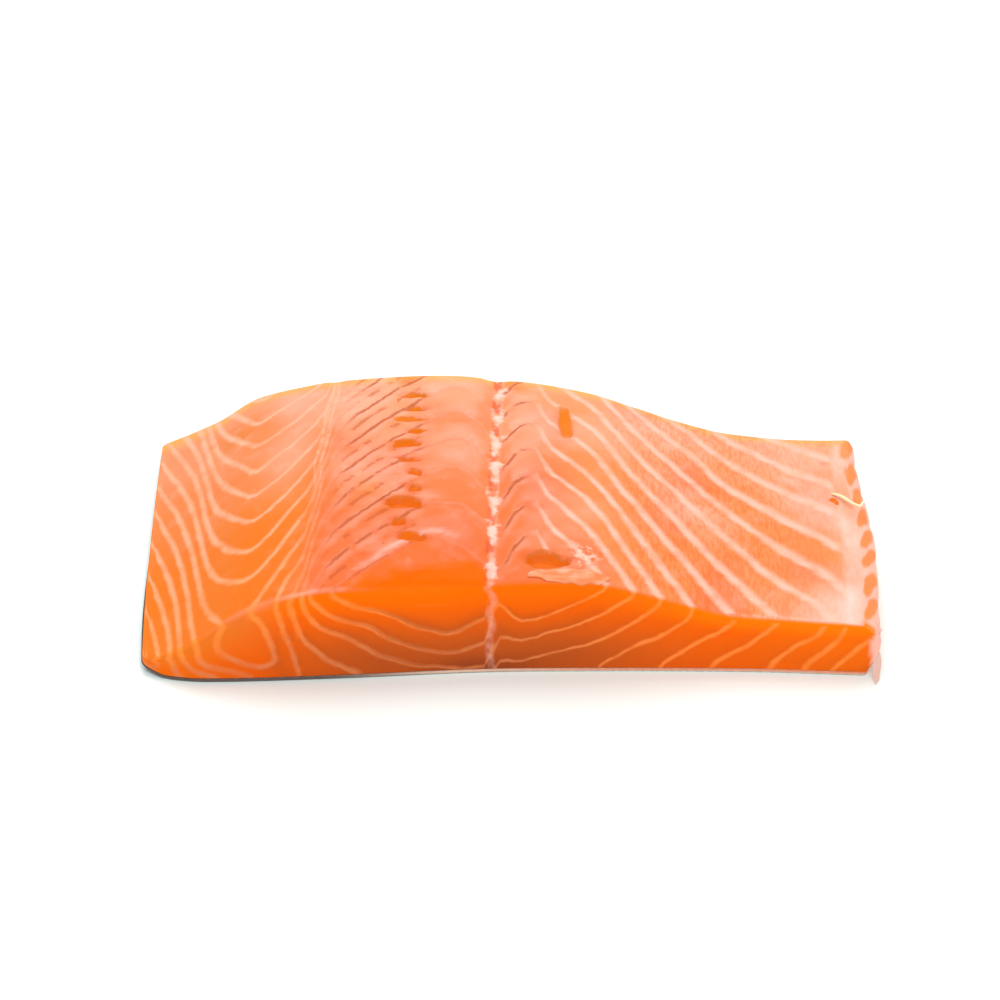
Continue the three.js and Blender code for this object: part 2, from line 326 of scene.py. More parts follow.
def depth_share(x, v, z):
    """0 on the cut top, 1 on the skin."""
    low = floor_of_flesh(x)
    high = np.maximum(top_height(x, v), low + THINNEST_FLESH)
    return np.clip((high - z) / (high - low), 0, 1)


def septa_phase(x, y, z):
    """Counts the fat sheets: it is a whole number on each."""
    v = np.clip((y - near_cut(x)) / (far_cut(x) - near_cut(x)), 0, 1)
    t = depth_share(x, v, z)
    lean = (seam_x(v) - SEAM_X) * bell(x, SEAM_X, 8)
    at = x - lean
    near_weight = (1 - v) ** 2.3
    top = mix(through(SEPTA, 1, at), through(SEPTA, 2, at), near_weight)
    columns = np.stack([np.zeros_like(at)] + [through(SEPTA, c, at) for c in (3, 4, 5, 6)])
    step = np.clip(t * 4, 0, 3.9999)
    i = step.astype(int)
    f = step - i
    # A smooth curve through the five depths, from the two on each side.
    a, b, c, d = (np.take_along_axis(columns, np.clip(i + k, 0, 4)[None], 0)[0] for k in (-1, 0, 1, 2))
    deeper = b + 0.5 * f * (c - a + f * (2 * a - 5 * b + 4 * c - d + f * (3 * (b - c) + d - a)))
    deeper = mix(deeper, -0.9 * t, ramp(x, 73, 4) * ramp(v, 0.02, 0.05))
    fan = ramp(x, 62, 16) * ramp(v, 0.008, -0.006)
    return (y - FLAKE_FROM) / FLAKE_PITCH + top + deeper + fan


def septa_fields(place, normals):
    """The phase at each point, and the millimetres from one sheet to the next along the surface."""
    phase = septa_phase(*place.T)
    probe = 0.15
    slope = np.stack([
        septa_phase(*(place + step).T) - septa_phase(*(place - step).T) for step in np.eye(3) * probe
    ], -1) / (2 * probe)
    slope -= (slope * normals).sum(-1, keepdims=True) * normals
    return phase, 1 / np.maximum(np.linalg.norm(slope, axis=-1), 0.02)


def leaf(x, y, middle_x, middle_y, long, wide, turn=0.0):
    """1 in the middle of a leaf-shaped mark, 0 on its outline, below 0 outside. Its right end is finer."""
    c, s = math.cos(math.radians(turn)), math.sin(math.radians(turn))
    along = (x - middle_x) * c + (y - middle_y) * s
    across = -(x - middle_x) * s + (y - middle_y) * c
    room = (1 - (2 * along / long) ** 2) * np.clip(1 - 0.7 * along / long, 0.5, 1.5)
    return np.where(room > 0, 1 - np.abs(2 * across / wide) / np.sqrt(np.maximum(room, 1e-4)), -1)


def cuts(x, y):
    """Depth of the pin-bone slits, the nick and the pocket, and how far inside one each point is.

    The second is 1 in the middle of a cut, 0 on its outline and below 0 outside.
    """
    deep = np.zeros_like(x)
    inside = np.full_like(x, -1)
    marks = [((a + b) / 2, y0, b - a, wide, 0.7 + 0.25 * wide, -6.0) for a, b, y0, wide in PIN_BONE_SLITS]
    for middle_x, middle_y, long, wide, depth, turn in marks + [KNIFE_NICK, TORN_POCKET, TENDON_HOLLOW]:
        share = leaf(x, y, middle_x, middle_y, long, wide, turn)
        deep = np.maximum(deep, depth * smooth(np.maximum(share, 0) / 0.7))
        inside = np.maximum(inside, share)
    return deep, inside


def top_relief(x, y, v, phase):
    """Flakes, the backbone groove, belly ripples and cuts on the top, in millimetres."""
    tile = phase - np.floor(phase)
    ends = inner(v, 0.06)
    loin = ramp(x, -41, 5) * ramp(x, 10, -6)
    belly = ramp(x, 12, 8) * ramp(x, 78, -10)
    back = ramp(x, -46, -6) * ramp(x, -80, 8)
    step = smooth(tile / 0.09) * (1 - tile) - 0.4
    ripple = np.sin(tile * math.pi) ** 0.7 - 0.7
    worn = 0.75 + 0.35 * waves(x, y, 14, 3)
    lift = 0.5 * loin * step * worn + (0.28 * belly + 0.16 * back) * ripple
    groove = -0.85 * bell(x, SEPTUM_X, 2.6) - 0.35 * bell(x, seam_x(v), 1.6)
    spots = sum(bell(y, spot, 2.0) for spot in SPINE_SPOTS) * bell(x, SEPTUM_X, 1.4) * 0.55
    swell = 0.22 * waves(x, y, 22, 11) + 0.07 * waves(x, y, 6, 12)
    deep, inside = cuts(x, y)
    return ends * (lift + swell) + smooth(v / 0.03) * (groove + spots) - deep, inside


def layered(base, *layers):
    """The base colour or colours with others laid over them in turn, each by its share."""
    base = np.asarray(base)
    for colour, share in layers:
        base = base + (np.array(colour) - base) * np.asarray(share)[..., None]
    return base


def blots(x, y, spots):
    """1 in the middle of each round blot, given by x, y and size, and 0 away from them all."""
    return np.minimum(sum(bell(x, x0, size) * bell(y, y0, size) for x0, y0, size in spots), 1)


def below_arch(x, phase):
    """1 on the bare muscle in front of the nearest arch of the loin, left of the backbone line."""
    return ramp(phase, 1.1, -0.25) * ramp(x, -37, 8) * ramp(x, -4.5, -2)


def belly_side_share(x, start, over, v, placed_x, depth):
    """1 on the belly's side and on the near corner's outermost millimetres, which a film covers."""
    corner = ramp(placed_x - 77.0, 1.6 * smooth(1 - depth / 0.4), 0.7)
    return np.maximum(ramp(x, start, over) * ramp(v, 0.02, 0.02), corner)


def only_where(shown, distance):
    """The distance from a line where it is shown, and far off on the same side elsewhere."""
    return np.where(shown, distance, np.copysign(FAR_AWAY, distance))


def flesh_colours(sizes, x, y, v, depth, phase, relief, under_arch, top, placed_x, calm):
    """Colour of the muscle and of the fat sheets at each point, painted sheen and shade included, and how
    filmed the top is, which counts painted sheen too.
    """
    swell = 0.5 + 0.5 * waves(x, y, 20, 31)
    # The film share is partly a real moist film and partly painted sheen: its first term is painted sheen
    # that grows towards the far cut.
    film = 0.2 * ramp(v, 0.3, 0.6) + 0.15 * ramp(x, 56, 16) * ramp(v, 0.75, -0.3)
    film += 0.2 * bell(x, 64, 10) * bell(v, 0.85, 0.14)
    film += ramp(x, 70.5, 4) * (0.25 + 0.35 * bell(v, 0.9, 0.12) + 0.35 * bell(v, 0.45, 0.15))
    near_corner = ramp(x, 50, 24)
    film += 0.55 * near_corner * ramp(v, 0.07 + 0.18 * near_corner, -0.15)
    film += 0.13 * bell(x, -12, 7) * bell(v, 0.42, 0.2)
    flank = ramp(x, -38, -10) * ramp(v, 1.3, -0.6)
    # Painted light and shade from the relief: raised flakes take more of the pale film colour as a painted
    # highlight, and hollows less, so they stay deeper orange as painted shade.
    film = film * (0.75 + 0.3 * swell) + 0.5 * np.clip(relief, -0.4, 0.8) * (1 - flank)
    film = np.clip(film + 0.22 * flank * bell(x, -47, 8) * ramp(v, 0.25, 0.5) * (0.4 + swell), 0, 1)

    arch = bell(phase, 1.14, 0.07) * ramp(x, -37, 6) * ramp(x, -9, -6) * ramp(v, 0.5, -0.1)
    ragged = 0.014 * waves(x, y, 7, 32) + 0.006 * waves(x, y, 2.5, 33)
    reach = mix(0.075, 0.12, ramp(x, -34, 22))
    worn = ramp(v, reach + ragged, -0.04) * ramp(x, -40, 6) * ramp(x, -3.5, -2)
    pale_edge = 0.5 * bell(x, -48, 12) + 0.55 * ramp(x, 44, 10)
    # The top is pinker than the cut faces and paler towards the far cut: partly the muscle's own tone, partly
    # painted sheen.
    surface = layered(
        sizes.top_middle,
        (sizes.top_far_with_sheen, ramp(v, 0.35, 0.6)),
        (sizes.belly, 0.85 * ramp(x, 6, 16)),
        (sizes.flank, flank),
        (sizes.top_near, ramp(v, 0.45, -0.45) * bell(x, -22, 24)),
        (sizes.cut_face, 0.6 * under_arch),
        (sizes.flush, 0.5 * smooth(swell - 0.3) * (1 - film) * (1 - flank)),
        (sizes.film, film * (1 - 0.8 * under_arch)),
        (sizes.film, 0.5 * arch),
        (sizes.rim, 0.85 * ramp(v, 0.935, 0.055)),
        (sizes.cut_face, worn),
        (sizes.fat_on_top, pale_edge * bell(v, 0.012, 0.008)),
        (sizes.deep_far, 0.85 * blots(x, y, OCHRE_SPOTS)),
        (sizes.dark_muscle, 0.4 * blots(x, y, BRUISES)),
    )
    film = film * (1 - worn) - 0.3 * worn

    low = ramp(depth, 0.1, 0.75)
    middle = ramp(x, -58, 30) * ramp(x, 48, -40)
    # Painted shade on the cut faces: each band between fat sheets darkens towards the next sheet, as the
    # bulging flakes would shade it.
    flake_shade = ramp(phase - np.floor(phase), 0.45, 0.55) * ramp(x, -60, 12) * mix(0.3, 1, ramp(x, 34, -30))
    belly_side = belly_side_share(x, 72.5, 3, v, placed_x, depth)
    face = layered(
        sizes.cut_face,
        (sizes.cut_flank, 0.45 * ramp(x, -58, -16) + 0.3 * ramp(x, 45, 25)),
        (sizes.cut_glow, mix(0.3, 0.65, ramp(x, 15, 30)) * ramp(depth, 0.34, -0.3)),
        (sizes.cut_low_and_flake_shade, low * mix(0.25, 1, middle)),
        (sizes.cut_low_and_flake_shade, 0.65 * flake_shade * ramp(depth, 0.12, 0.3) * (1 - calm)),
        (sizes.dark_muscle, 0.8 * bell(x, -6, 12) * ramp(depth, 0.75, 0.22)),
        (sizes.film, 0.8 * belly_side),
    )

    side = np.clip(1 - top, 0, 1)
    flowing = side * (1 - 0.85 * ramp(x, -46, -14) * (1 - low))
    muscle = surface + (face - surface) * flowing[:, None]
    # The ovals lean with the bevel above the side's widest line, and stand between those below it.
    out = placed_x - belly_edge(v) + 2.0
    rise = np.where(placed_x > belly_edge(v) - side_bevel(v), 2.0, 0.8) * out
    below = ramp(depth, 0.42, 0.06)
    share = [1 - np.hypot(out / 2.0, (y - y0 - rise - 4.3 * below) / (half * (1 - 0.3 * below)))
             for y0, half in BELLY_SIDE_MUSCLE]
    share = np.maximum.reduce(share) + 0.1 * waves(y, 3 * out, 6, 61)
    muscle = layered(muscle, (sizes.bevel, 0.95 * smooth(share / 0.3)))
    fat = layered(
        sizes.fat_on_top, (sizes.fat_on_flank, flank), (sizes.fat_on_cut, 0.5 * flank * ramp(v, 0.5, -0.45)))
    on_face = layered(
        sizes.fat_on_cut, (sizes.fat_low, low * ramp(x, 40, -50)), (sizes.fat_on_top, belly_side))
    return muscle, fat + (on_face - fat) * side[:, None], film


# -------- making meshes

def added(name, operator, **settings):
    """Adds an object by an operator, with nothing else selected, and names it."""
    bpy.ops.object.select_all(action="DESELECT")
    operator(**settings)
    piece = bpy.context.object
    piece.name = piece.data.name = name
    return piece


def vectors_of(items, field):
    """A field of three numbers as an array with a row for each item."""
    values = np.empty(len(items) * 3, np.float32)
    items.foreach_get(field, values)
    return values.reshape(-1, 3).astype(float)


def select_edges(piece, wanted):
    """In edit mode, selects the edges whose two ends pass the test, and no others."""
    bpy.ops.mesh.select_mode(type="EDGE")
    bpy.ops.mesh.select_all(action="DESELECT")
    mesh = bmesh.from_edit_mesh(piece.data)
    for edge in mesh.edges:
        a, b = edge.verts
        edge.select = wanted(a.co, b.co)
    mesh.select_flush_mode()
    bmesh.update_edit_mesh(piece.data)


def fine_block(name, cells, plain_underside):
    """A unit cube cut into fine squares on all sides, or into plain strips underneath."""
    block = added(name, bpy.ops.mesh.primitive_cube_add, size=1)
    bpy.ops.object.mode_set(mode="EDIT")
    for axis, count in enumerate(cells):
        select_edges(block, lambda a, b: abs(a[axis] - b[axis]) > 1e-4)
        bpy.ops.mesh.subdivide(number_cuts=count - 1)
    if plain_underside:
        select_edges(block, lambda a, b: (
            max(a.z, b.z) < -0.499 and abs(a.y) < 0.499 and abs(a.y - b.y) < 1e-5))
        bpy.ops.mesh.dissolve_edges(use_verts=True)
    bpy.ops.object.mode_set(mode="OBJECT")
    bpy.ops.object.shade_smooth()
    return block


def shares_of(block, cells):
    """Each vertex's share across, along and up the block, from 0 to 1."""
    return np.round((vectors_of(block.data.vertices, "co") + 0.5) * cells) / cells


def move_to(piece, place_mm):
    """Puts the piece's vertices at these places, given in millimetres."""
    piece.data.vertices.foreach_set("co", (place_mm * MM).astype(np.float32).ravel())
    piece.data.update()


def paint(piece, **fields):
    """Stores a number or a linear colour for each vertex under each name, for the materials to read."""
    for name, values in fields.items():
        values = np.asarray(values, np.float32)
        kind, field = ("FLOAT", "value") if values.ndim == 1 else ("FLOAT_COLOR", "color")
        if values.ndim == 2:
            values = np.pad(values, ((0, 0), (0, 1)), constant_values=1)
        piece.data.attributes.new(name, kind, "POINT").data.foreach_set(field, values.ravel())


def finish_piece(piece, material):
    piece.data.materials.clear()
    piece.data.materials.append(material)
    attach(piece, "root")
    return piece


def portion_shift():
    """The move that centres the portion over the origin, as the solids are."""
    shares = np.stack(np.meshgrid(*(np.linspace(0, 1, count) for count in (81, 41, 11))), -1).reshape(-1, 3)
    place, _ = placed(*shares.T)
    low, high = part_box("flesh")
    middle = np.array([(low.x + high.x) / 2, (low.y + high.y) / 2]) / MM
    return np.append(middle - (place.min(0) + place.max(0))[:2] / 2, 0)


def make_flesh(sizes):
    block = fine_block("salmon_flesh", FLESH_CELLS, plain_underside=True)
    shares = shares_of(block, FLESH_CELLS)
    shares = np.stack([denser_rim(shares[:, i], FLESH_CELLS[i]) for i in range(3)], -1)
    u, v, w = rounded(shares, sizes.edge_radius / MM).T
    place, x = placed(u, v, w)
    y, z = place[:, 1], place[:, 2]
    shift = portion_shift()
    move_to(block, place)
    phase, spacing = septa_fields(np.stack([x, y, z], -1), vectors_of(block.data.vertex_normals, "vector"))
    depth = depth_share(x, v, z)
    calm = ((v < 0.06) | (v > 0.97)) * ramp(depth, through(CALM_DEPTH, 1, x), -0.06)

    # Fine forms: y and z follow place as it moves.
    relief, inside = top_relief(x, y, v, phase)
    on_top = ramp(w, 0.8, 0.2)
    place[:, 2] += relief * on_top * sizes.relief_share
    tile = np.abs(phase - np.round(phase))
    cut_face = (ramp(v, 0.01, -0.01) - ramp(v, 0.99, 0.01)) * inner(depth, 0.1)
    place[:, 1] -= cut_face * 0.2 * waves(x, z, 16, 21)
    crowded = 1 - ramp(np.abs(x + 46), 6, 5)
    between = smooth(tile / 0.26) - 0.5
    place[:, 1] -= cut_face * 0.18 * between * ramp(spacing, 4.5, 3) * (1 - calm) * (1 - crowded)
    belly_side = ramp(u, 0.99, 0.01) * inner(depth, 0.1)
    place[:, 0] += belly_side * 0.28 * (smooth(tile / 0.3) - 0.8)
    place[:, :2] = np.clip(place[:, :2], [-WIDTH / 2, -LENGTH / 2], [WIDTH / 2, LENGTH / 2])
    move_to(block, place + shift)

    end_face = np.maximum(ramp(v, 0.012, -0.012), ramp(v, 0.988, 0.012))
    top = ramp(w, 0.955, 0.04) * (1 - end_face)
    hole = np.where(on_top > 0.5, inside, -1)
    closed = 1 - smooth(hole / 0.2 + 0.8)
    under_arch = below_arch(x, phase)
    muscle, fat_tint, film = flesh_colours(
        sizes, x, y, v, depth, phase, relief, under_arch, top, place[:, 0], calm)
    hole_tint = layered(sizes.deep, (sizes.deep_far, ramp(v, 0.45, 0.4)))

    # Where the fat sheets show, and how wide their lines are.
    on_faces = mix(1 + 0.5 * bell(x, -36, 20), 0.45, ramp(x, -8, 22))
    fat_width = through(FAT_WIDTH, 1, x) * mix(1, on_faces, end_face)
    loin = ramp(x, seam_x(v), 3) * ramp(x, 9, -5)
    bare = top * np.maximum(under_arch, ramp(x, -2, 2) * ramp(x, 13, -3) * ramp(v, 0.1, -0.03))
    bare += end_face * ramp(depth, 0.3, -0.12) * ramp(x, -1, 2) * ramp(x, 14, -4)
    bare += (1 - top) * calm
    bare += (x > 46) * (v < 0.02) * (w > 0.95) + belly_side_share(x, 70, 5, v, place[:, 0], depth)
    near_seam = bell(x, seam_x(v), 2.4) * top + 0.6 * ramp(x, 71, 4) * top
    fat = mix(1, 0.2, loin * top) * mix(1, 0.85, end_face) * closed
    fat = fat * np.clip(1 - bare, 0, 1) * (1 - 0.75 * near_seam)
    gape = ramp(x, -17, -4) * ramp(x - seam_x(v), 2, 5) + ramp(x, -3, 1.5) * ramp(x, 4.5, -2)
    # Where the painted shade of open cracks shows: along the loin's sheets on the top, and faintly on the cut
    # faces.
    crack = loin * top * np.maximum(gape, 0.2) * closed * (1 - bare)
    crack += 0.7 * end_face * bell(x, -20, 14) * smooth(depth / 0.15) * (1 - calm)
    seam = x - seam_x(v) + 0.35 * waves(y, x, 12, 42)
    spine = x - SEPTUM_X - 0.03 * y + 0.7 * waves(z, y, 9, 41) * (1 - top)
    paint(
        block, septa=phase - 0.15, spacing=spacing, fat_half=fat_width / 2, fat=fat,
        crack=np.clip(crack, 0, 1), top=top,
        wet=top * (0.3 + film) * (1 - 0.8 * ramp(x, -50, -10) * ramp(v, 0.6, -0.4)),
        seam=only_where(top > 0.2, seam), spine=only_where(top + end_face * (v < 0.5) > 0.2, spine),
        fibre=ramp(x, 16, 14) * (1 - 0.6 * ramp(x, 52, 18)) * (1 - 0.8 * end_face) * (1 - 0.8 * film),
        hole=hole, seam_fat=0.1 + 0.65 * ramp(v, 0.35, 0.3), rough=top * blots(x, y, [ROUGH_PATCH]),
        muscle=muscle, fat_tint=fat_tint, hole_tint=hole_tint,
    )
    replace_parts(finish_piece(block, flesh_material(sizes)), "flesh")


def make_skin(sizes):
    block = fine_block("salmon_skin", SKIN_CELLS, plain_underside=False)
    u, v, w = shares_of(block, SKIN_CELLS).T
    soft = rounded(np.stack([u, v, np.zeros_like(u)], -1), sizes.edge_radius / MM)
    place, x = placed(soft[:, 0], soft[:, 1], 0 * u)
    place[:, 2] = curl(place[:, 0]) + w * SKIN_THICKNESS
    on_rim = (u == 0) | (u == 1) | (v == 0) | (v == 1)
    rim = 0.3 * (1 - w)
    place[:, 0] += rim * ((u == 0).astype(float) - (u == 1)) - 0.45 * (u == 0) * w * bell(v, 0.2, 0.25)
    place[:, 1] += rim * ((v == 0).astype(float) - (v == 1))
    move_to(block, place + portion_shift())
    paint(block, across=x, side=on_rim * smooth(w / 0.5), up=w)
    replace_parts(finish_piece(block, skin_material(sizes)), "skin")


def surface_height(x, y):
    """Height of the finished top at these places."""
    v = np.clip((y - near_cut(x)) / (far_cut(x) - near_cut(x)), 0, 1)
    phase = septa_phase(x, y, top_height(x, v))
    return top_height(x, v) + top_relief(x, y, v, phase)[0]


def thin_sheet(name, cells, place_of, thickness):
    """A grid laid out by place_of, given its thickness about its middle and softened."""
    sheet = added(
        name, bpy.ops.mesh.primitive_grid_add, x_subdivisions=cells[0], y_subdivisions=cells[1], size=1)
    flat = vectors_of(sheet.data.vertices, "co")
    move_to(sheet, place_of(flat[:, 0] + 0.5, flat[:, 1] + 0.5) + portion_shift())
    wall = sheet.modifiers.new("wall", "SOLIDIFY")
    wall.thickness = thickness * MM
    wall.offset = 0
    soft = sheet.modifiers.new("soft", "SUBSURF")
    soft.levels = soft.render_levels = 1
    for modifier in (wall.name, soft.name):
        bpy.ops.object.modifier_apply(modifier=modifier)
    bpy.ops.object.shade_smooth()
    return sheet


def make_tongue(sizes):
    """A torn tongue of flesh that lies along the near edge, pointing at the backbone line."""
    def place_of(along, across):
        wide = TONGUE_WIDTH * np.sqrt(np.clip((1 - (1 - along) ** 2.6) * (1 - along ** 5), 0.02, 1))
        x = TONGUE_TIP[0] + TONGUE_LENGTH * along
        y = TONGUE_TIP[1] + wide * (across - 0.5) - 0.4 * along + 0.2 * waves(x, x, 5, 51)
        lift = 0.2 + 0.3 * bell(across, 0.8, 0.3) * ramp(along, 1, -0.3) + 0.06 * waves(x, y, 3, 52)
        lift = lift - 0.8 * np.maximum(near_cut(x) + 1.0 - y, 0)
        y = np.maximum(y, near_cut(x) - 0.4)
        return np.stack([x, y, surface_height(x, y) + lift], -1)
    tongue = thin_sheet("torn_tongue", TONGUE_CELLS, place_of, TONGUE_THICKNESS)
    finish_piece(tongue, scrap_material("torn_salmon_muscle", sizes.tongue, sizes.fat_on_flank, 0.0))


def make_tendon(sizes):
    """A loose tendon that lies over the belly's edge."""
    tendon = added("loose_tendon", bpy.ops.curve.primitive_nurbs_path_add, radius=1)
    line = tendon.data.splines[0]
    line.points.add(len(TENDON) - len(line.points))
    shift = portion_shift()
    for point, (x, y, lift, radius) in zip(line.points, TENDON):
        z = surface_height(np.array([x]), np.array([y]))[0] + lift
        point.co = (*((np.array([x, y, z]) + shift) * MM), 1)
        point.radius = radius
    line.use_endpoint_u = True
    line.order_u = 3
    tendon.data.resolution_u = 6
    tendon.data.bevel_depth = TENDON_RADIUS * MM
    tendon.data.bevel_resolution = 3
    tendon.data.use_fill_caps = True
    bpy.ops.object.convert(target="MESH")
    finish_piece(tendon, scrap_material("white_tendon", sizes.tendon, sizes.spine_white_and_glint, 0.0))


def make_corner_film(sizes):
    """A thin wet film that hangs off the belly's side and touches the board."""
    def place_of(along, down):
        x, y, z = FILM_UPPER_END
        x = x + 2.4 * along * (1 - 0.5 * down) + 1.2 * down ** 2
        y = y + along - 2 * down - 3 * down ** 2 + 0.25 * waves(along * 5, down * 5, 4, 53)
        z = mix(z + 2 * along, FILM_FOOT, down)
        return np.stack([x + 0.3 * waves(z, y, 5, 54), y, z], -1)
    film = thin_sheet("corner_film", FILM_CELLS, place_of, FILM_THICKNESS)
    finish_piece(film, scrap_material("wet_connective_film", sizes.film, sizes.spine_white_and_glint, 0.2))


# -------- materials

def add(tree, kind, inputs=(), out=0, **settings):
    """Adds a shader node. Inputs go by place or by name, each a value or a socket to link.

    A colour needs no alpha, as all are opaque.
    """
    node = tree.nodes.new("ShaderNode" + kind)
    for name, value in settings.items():
        setattr(node, name, value)
    places = [socket for socket in node.inputs if socket.enabled]
    for key, value in inputs.items() if isinstance(inputs, dict) else enumerate(inputs):
        socket = node.inputs[key] if isinstance(key, str) else places[key]
        if isinstance(value, bpy.types.NodeSocket):
            tree.links.new(value, socket)
        else:
            socket.default_value = (*value[:3], 1) if socket.type == "RGBA" else value
    outputs = [socket for socket in node.outputs if socket.enabled]
    return node.outputs[out] if isinstance(out, str) else outputs[out] if outputs else None


def blank_material(name):
    """An empty node material, a shorter add for it, and the place on the piece in millimetres."""
    material = bpy.data.materials.new(name)
    material.use_nodes = True
    material.node_tree.nodes.clear()
    put = partial(add, material.node_tree)
    place = put("TexCoord", out="Object")
    return material, put, put("VectorMath", (place, (1000, 1000, 1000)), **TIMES)


TIMES, PLUS, LESS, HIGHER, ABS, TIMES_PLUS = ({"operation": name} for name in (
    "MULTIPLY", "ADD", "SUBTRACT", "MAXIMUM", "ABSOLUTE", "MULTIPLY_ADD"))
SOFT = {"interpolation_type": "SMOOTHSTEP"}
OVER = {"data_type": "RGBA", "blend_type": "MIX"}


def flesh_material(sizes):
    """Raw salmon muscle, cut wet with a knife: moist and a little see-through, with pale fat sheets."""
    material, put, mm = blank_material("raw_salmon_muscle_knife_cut")
    at = SimpleNamespace(**{name: put("Attribute", attribute_name=name, out="Fac") for name in (
        "septa", "spacing", "fat_half", "fat", "crack", "top", "wet",
        "seam", "seam_fat", "spine", "fibre", "hole", "rough")})
    muscle, fat_tint, hole_tint = (
        put("Attribute", attribute_name=name, out="Color") for name in ("muscle", "fat_tint", "hole_tint"))

    # Clouds of 9, 4.5 and 1.6 mm, and muscle fibres about 0.7 mm thick that run along the fish.
    cloud, lump, grain = (
        put("TexNoise", {"Vector": mm, "Scale": 1 / size, "Detail": detail, "Roughness": 0.55}, out="Fac")
        for size, detail in ((9, 2.0), (4.5, 3.0), (1.6, 3.0)))
    fibre = put("TexNoise", {
        "Vector": put("VectorMath", (mm, (1.5, 0.42, 0.6)), **TIMES), "Scale": 1.0}, out="Fac")

    # Distance from the nearest fat sheet, along the surface.
    phase = put("Math", (cloud, 0.2, at.septa), **TIMES_PLUS)
    phase = put("Math", (lump, 0.1, phase), **TIMES_PLUS)
    off = put("Math", (phase, put("Math", (phase,), operation="ROUND")), **LESS)
    off_mm = put("Math", (put("Math", (off,), **ABS), at.spacing), **TIMES)
    half = put("Math", (at.fat_half, put("Math", (grain, 0.7, 0.6), **TIMES_PLUS)), **TIMES)
    line = put("MapRange", (
        off_mm, put("Math", (half, 1.75), **TIMES), put("Math", (half, 0.2), **TIMES)), **SOFT)
    fading = put("MapRange", (lump, 0.3, 0.62, 0.55, 1.0), **SOFT)
    line = put("Math", (line, put("Math", (at.fat, fading), **TIMES)), use_clamp=True, **TIMES)

    # Open cracks run along the sheets in broken lengths, darkened with painted shade, with a painted
    # highlight on the raised edge in front of each.
    wavy = put("Math", (put("Math", (grain, 0.1, -0.02), **TIMES_PLUS), off), **PLUS)
    beside = put("Math", (wavy,), **ABS)
    crack = put("MapRange", (put("Math", (beside, at.spacing), **TIMES), 0.52, 0.12), **SOFT)
    broken = put("Math", (put("MapRange", (lump, 0.3, 0.5), **SOFT), at.crack), **TIMES)
    crack = put("Math", (crack, broken), use_clamp=True, **TIMES)
    # Finer ones in shorter lengths lie halfway between the sheets.
    beside = put("Math", (put("Math", (beside, 0.47), **LESS),), **ABS)
    finer = put("MapRange", (put("Math", (beside, at.spacing), **TIMES), 0.4, 0.15, 0.0, 0.7), **SOFT)
    for limit in (
        put("MapRange", (at.spine, -9.0, -14.0)), put("MapRange", (lump, 0.53, 0.45), **SOFT),
        at.crack, at.top,
    ):
        finer = put("Math", (finer, limit), **TIMES)
    crack = put("Math", (crack, finer), **HIGHER)

    lip_highlight = put("Math", (put("Math", (off, 0.17), **PLUS),), **ABS)
    lip_highlight = put("MapRange", (put("Math", (lip_highlight, at.spacing), **TIMES), 1.7, 0.1), **SOFT)
    lip_highlight = put("Math", (lip_highlight, put("Math", (broken, at.top), **TIMES)), use_clamp=True, **TIMES)
    strokes = put("Math", (put("MapRange", (fibre, 0.4, 0.62), **SOFT), at.fibre), **TIMES)
    patchy = put("Math", (put("MapRange", (lump, 0.5, 0.7, 0.0, 0.25), **SOFT), at.wet), **TIMES)

    # The fat seam along the loin is two pale rails with a fainter filling.
    beside = put("Math", (at.seam,), **ABS)
    rail = put("Math", (put("Math", (beside, 0.6), **LESS),), **ABS)
    rail = put("MapRange", (rail, 0.5, 0.0, 0.0, 0.55), **SOFT)
    filling = put("MapRange", (beside, 1.5, 0.3, 0.0, 0.22), **SOFT)
    seam = put("Math", (put("Math", (rail, filling), **HIGHER),
                        put("MapRange", (grain, 0.34, 0.6, 0.3, 1.0), **SOFT)), **TIMES)
    seam = put("Math", (seam, at.seam_fat), **TIMES)

    # The backbone line: a faint pale band, deep gaps, and ragged white spots.
    beside = put("Math", (at.spine,), **ABS)
    band = put("MapRange", (beside, 1.3, 0.2, 0.0, 0.4), **SOFT)
    band = put("Math", (band, put("MapRange", (grain, 0.35, 0.6, 0.3, 1.0), **SOFT)), **TIMES)
    band = put("Math", (band, put("MapRange", (at.top, 0.0, 1.0, 0.62, 1.0))), **TIMES)
    apart = put("MapRange", (put("Math", (off,), **ABS), 0.2, 0.36), **SOFT)
    gap = put("Math", (put("Math", (at.spine, 0.5), **PLUS),), **ABS)
    gap = put("Math", (put("MapRange", (gap, 1.4, 0.5, 0.0, 0.72), **SOFT),
                       put("MapRange", (lump, 0.4, 0.52), **SOFT)), **TIMES)
    gap = put("Math", (gap, put("Math", (apart, at.top), **TIMES)), **TIMES)
    across = put("Math", (beside, 0.54), **TIMES)
    along = put("Math", (off_mm, 0.46), **TIMES)
    across, along = (put("Math", (reach, reach), **TIMES) for reach in (across, along))
    reach = put("Math", (across, along), **PLUS)
    ragged = put("Math", (grain, -2.2, put("Math", (reach,), operation="SQRT")), **TIMES_PLUS)
    spot = put("Math", (put("MapRange", (ragged, -0.1, -0.9, 0.0, 0.74), **SOFT), at.top), **TIMES)

    # A torn wet patch: white glints that are painted highlights, and small pits darkened with painted shade.
    painted_glint = put("Math", (put("MapRange", (grain, 0.5, 0.6, 0.0, 0.9)), at.rough), **TIMES)
    pit_shade = put("Math", (put("MapRange", (grain, 0.44, 0.36, 0.0, 0.7)), at.rough), **TIMES)

